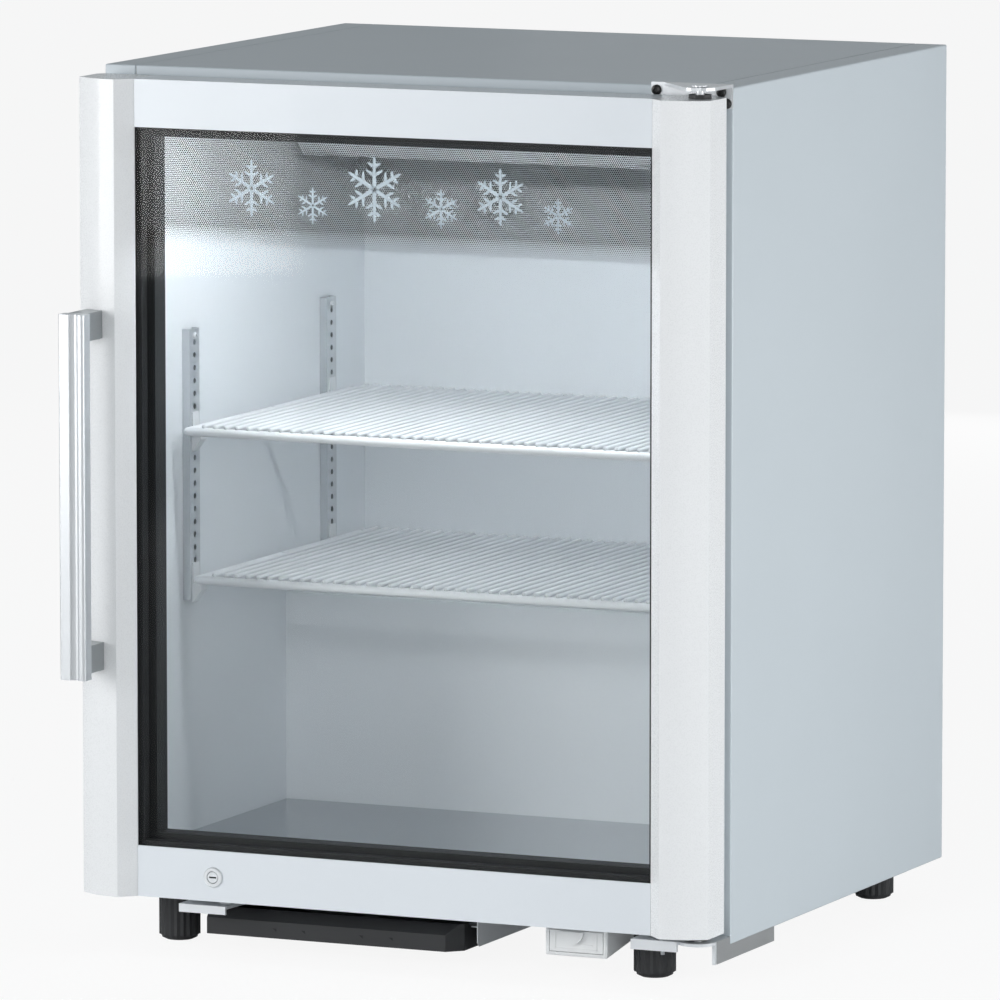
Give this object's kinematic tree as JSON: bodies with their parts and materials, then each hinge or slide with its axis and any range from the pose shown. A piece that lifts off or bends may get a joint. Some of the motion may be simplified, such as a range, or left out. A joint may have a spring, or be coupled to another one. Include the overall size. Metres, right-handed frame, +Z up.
{
  "type": "glass door merchandiser",
  "caption": "Countertop glass door drinks fridge with a right-hinged framed door, wire shelves, bar handle and a bottom-rear cooling unit.",
  "frame": {"origin": "on the floor under the centre of the overall box", "axes": "+Z up, the door faces -Y, the hinge side is +X"},
  "size_m": [0.662, 0.6676, 0.8658],
  "materials": {
    "painted_panel": "satin",
    "white_plastic": "satin",
    "white_coat": "gloss",
    "zinc": "satin",
    "stainless": "polished",
    "coil_metal": "satin",
    "brushed_bar": "brushed",
    "black_plastic": "matte",
    "black_metal": "satin",
    "rubber": "matte",
    "foam": "matte",
    "glass": "clear"
  },
  "bodies": {
    "cabinet": {"left_side_panel": "painted_panel", "right_side_panel": "painted_panel", "top_panel": "painted_panel", "rear_panel": "painted_panel", "inner_liner": "white_plastic", "front_frame": "white_plastic", "evaporator_cover": "white_plastic", "control_box": "white_plastic", "lamp_housing": "white_plastic", "upper_shelf": "white_coat", "lower_shelf": "white_coat", "rear_grille": "zinc", "base_pan": "zinc", "condenser_shroud": "zinc", "upper_hinge_bracket": "zinc", "upper_hinge_pin": "zinc", "lower_hinge_bracket": "zinc", "lower_hinge_pin": "zinc", "strike_bracket": "zinc", "tray_guide": "zinc", "front_left_pilaster": "zinc", "front_right_pilaster": "zinc", "rear_left_pilaster": "zinc", "rear_right_pilaster": "zinc", "floor_plate": "stainless", "torsion_rod": "stainless", "evaporator_coil": "coil_metal", "condenser_coil": "coil_metal", "power_inlet": "black_plastic", "compressor": "black_metal", "evaporator_motor": "black_metal", "condenser_motor": "black_metal", "insulation": "foam", "lamp_lens": "glass"},
    "door": {"left_stile": "white_coat", "right_stile": "white_coat", "top_rail": "white_coat", "bottom_rail": "white_coat", "front_glass": "glass", "rear_glass": "glass", "glass_spacer": "black_plastic", "inner_bezel": "black_plastic", "door_gasket": "rubber", "handle_bar": "brushed_bar", "upper_standoff": "brushed_bar", "lower_standoff": "brushed_bar", "upper_hinge_bush": "black_plastic", "lower_hinge_bush": "black_plastic", "lock_barrel": "zinc"},
    "lock_core_body": {"lock_core": "zinc"},
    "lock_bolt_body": {"lock_bolt": "zinc"},
    "tray": {"drip_tray": "black_plastic"},
    "cover": {"control_cover": "white_plastic"},
    "knob": {"thermostat_knob": "black_plastic"},
    "evaporator_rotor": {"evaporator_fan": "black_plastic"},
    "condenser_rotor": {"condenser_fan": "black_plastic"},
    "foot_front_left": {"front_left_foot": "black_plastic"},
    "foot_front_right": {"front_right_foot": "black_plastic"},
    "foot_rear_left": {"rear_left_foot": "black_plastic"},
    "foot_rear_right": {"rear_right_foot": "black_plastic"}
  },
  "joints": [
    {"name": "door_hinge", "type": "hinge", "parent": "cabinet", "child": "door", "pos_m": [0.312, -0.25125, 0.45], "axis": [0, 0, 1], "range_deg": [0, 115]},
    {"name": "lock_turn", "type": "hinge", "parent": "door", "child": "lock_core_body", "pos_m": [-0.19, -0.2743, 0.0785], "axis": [0, 1, 0], "range_deg": [0, 90]},
    {"name": "bolt_slide", "type": "slide", "parent": "door", "child": "lock_bolt_body", "axis": [0, 0, -1], "range_m": [0, 0.008]},
    {"name": "tray_slide", "type": "slide", "parent": "cabinet", "child": "tray", "axis": [0, -1, 0], "range_m": [0, 0.15]},
    {"name": "cover_hinge", "type": "hinge", "parent": "cabinet", "child": "cover", "pos_m": [0.1785, -0.23525, 0.0253], "axis": [1, 0, 0], "range_deg": [0, 80]},
    {"name": "knob_turn", "type": "hinge", "parent": "cabinet", "child": "knob", "pos_m": [0.1785, -0.22925, 0.0357], "axis": [0, 1, 0], "range_deg": [-135, 135]},
    {"name": "evaporator_spin", "type": "hinge", "parent": "cabinet", "child": "evaporator_rotor", "pos_m": [0, 0.18905, 0.7847], "axis": [0, 1, 0], "continuous": true},
    {"name": "condenser_spin", "type": "hinge", "parent": "cabinet", "child": "condenser_rotor", "pos_m": [-0.19, 0.20785, 0.1528], "axis": [0, 1, 0], "continuous": true},
    {"name": "front_left_foot_turn", "type": "hinge", "parent": "cabinet", "child": "foot_front_left", "pos_m": [-0.267, -0.18925, 0], "axis": [0, 0, 1], "continuous": true},
    {"name": "front_right_foot_turn", "type": "hinge", "parent": "cabinet", "child": "foot_front_right", "pos_m": [0.241, -0.18925, 0], "axis": [0, 0, 1], "continuous": true},
    {"name": "rear_left_foot_turn", "type": "hinge", "parent": "cabinet", "child": "foot_rear_left", "pos_m": [-0.267, 0.30775, 0], "axis": [0, 0, 1], "continuous": true},
    {"name": "rear_right_foot_turn", "type": "hinge", "parent": "cabinet", "child": "foot_rear_right", "pos_m": [0.267, 0.30775, 0], "axis": [0, 0, 1], "continuous": true}
  ],
  "couplings": [
    {"joint": "bolt_slide", "follows": "lock_turn", "m_per_rad": 0.005093}
  ]
}
